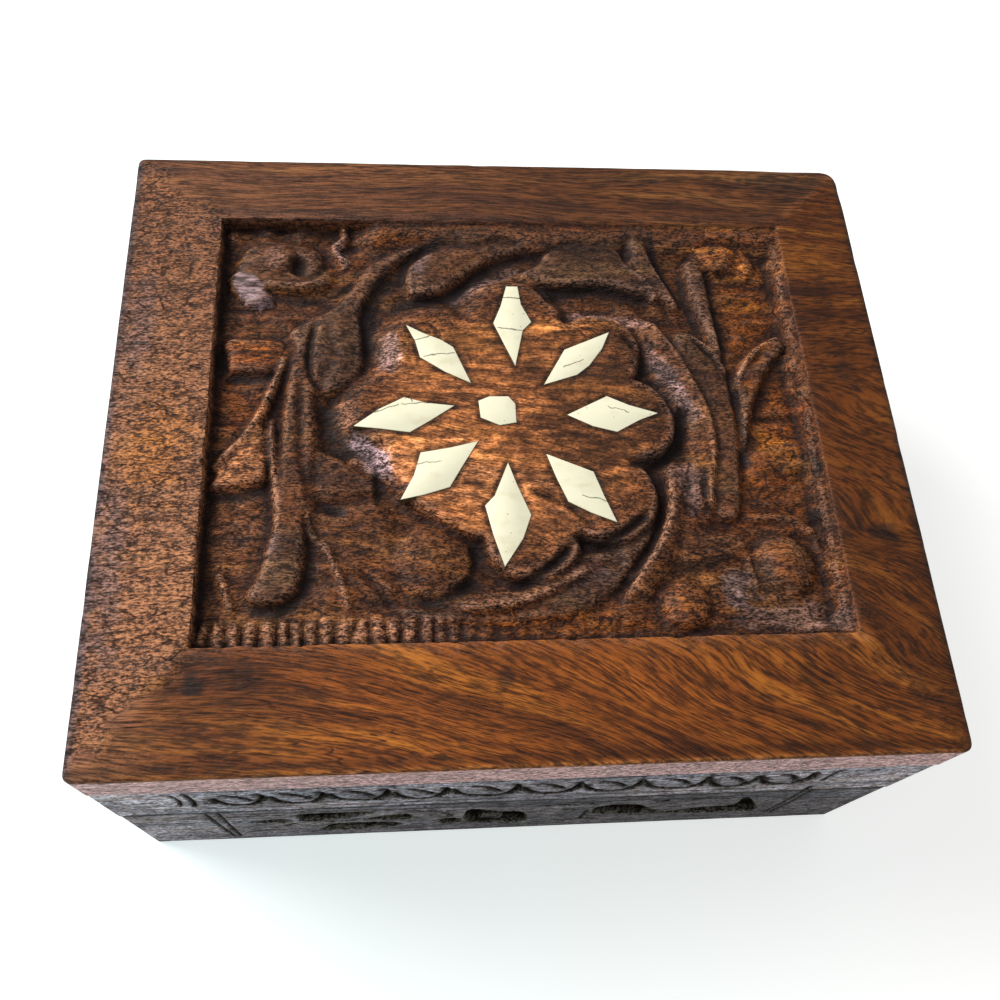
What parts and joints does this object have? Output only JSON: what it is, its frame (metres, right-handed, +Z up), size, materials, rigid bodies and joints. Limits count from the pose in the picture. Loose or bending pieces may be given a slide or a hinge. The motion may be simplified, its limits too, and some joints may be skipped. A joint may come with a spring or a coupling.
{
  "type": "trinket box",
  "caption": "Rectangular carved wooden trinket box with a hinged lid, a recessed carved top and a flower of bone inlay.",
  "frame": {"origin": "middle of the underside of the closed box, on the surface that it stands on", "axes": "+X to the right along the long side, +Y to the back where the hinges are, +Z up"},
  "size_m": [0.105, 0.0896, 0.0494],
  "materials": {
    "board_wood": "waxed open-pored rosewood, red-brown with darker streaks, carved and worn",
    "rail_wood": "waxed open-pored rosewood, chip-carved",
    "wall_wood": "waxed open-pored rosewood, carved",
    "floor_wood": "planed, unfinished",
    "bone": "polished bone with fine cracks",
    "brass": "dull, lightly tarnished",
    "nail_brass": "dull, lightly tarnished",
    "steel": "dark, slightly rusted"
  },
  "bodies": {
    "base": {"base_front_wall": "wall_wood", "base_back_wall": "wall_wood", "base_left_wall": "wall_wood", "base_right_wall": "wall_wood", "base_floor": "floor_wood", "hinge_left_base_leaf": "brass", "hinge_right_base_leaf": "brass", "hinge_left_pin": "brass", "hinge_right_pin": "brass", "base_hinge_nails": "nail_brass", "floor_brads": "steel"},
    "lid": {"lid_top_board": "board_wood", "lid_front_rail": "rail_wood", "lid_back_rail": "rail_wood", "lid_left_rail": "rail_wood", "lid_right_rail": "rail_wood", "inlay_petal_north": "bone", "inlay_petal_northeast": "bone", "inlay_petal_east": "bone", "inlay_petal_southeast": "bone", "inlay_petal_south": "bone", "inlay_petal_southwest": "bone", "inlay_petal_west": "bone", "inlay_petal_northwest": "bone", "inlay_centre": "bone", "hinge_left_lid_leaf": "brass", "hinge_right_lid_leaf": "brass", "lid_hinge_nails": "nail_brass", "lid_brads": "steel"}
  },
  "joints": [
    {"name": "lid_hinge", "type": "hinge", "parent": "base", "child": "lid", "pos_m": [0, 0.0416, 0.0243], "axis": [-1, 0, 0], "range_deg": [0, 102]}
  ]
}
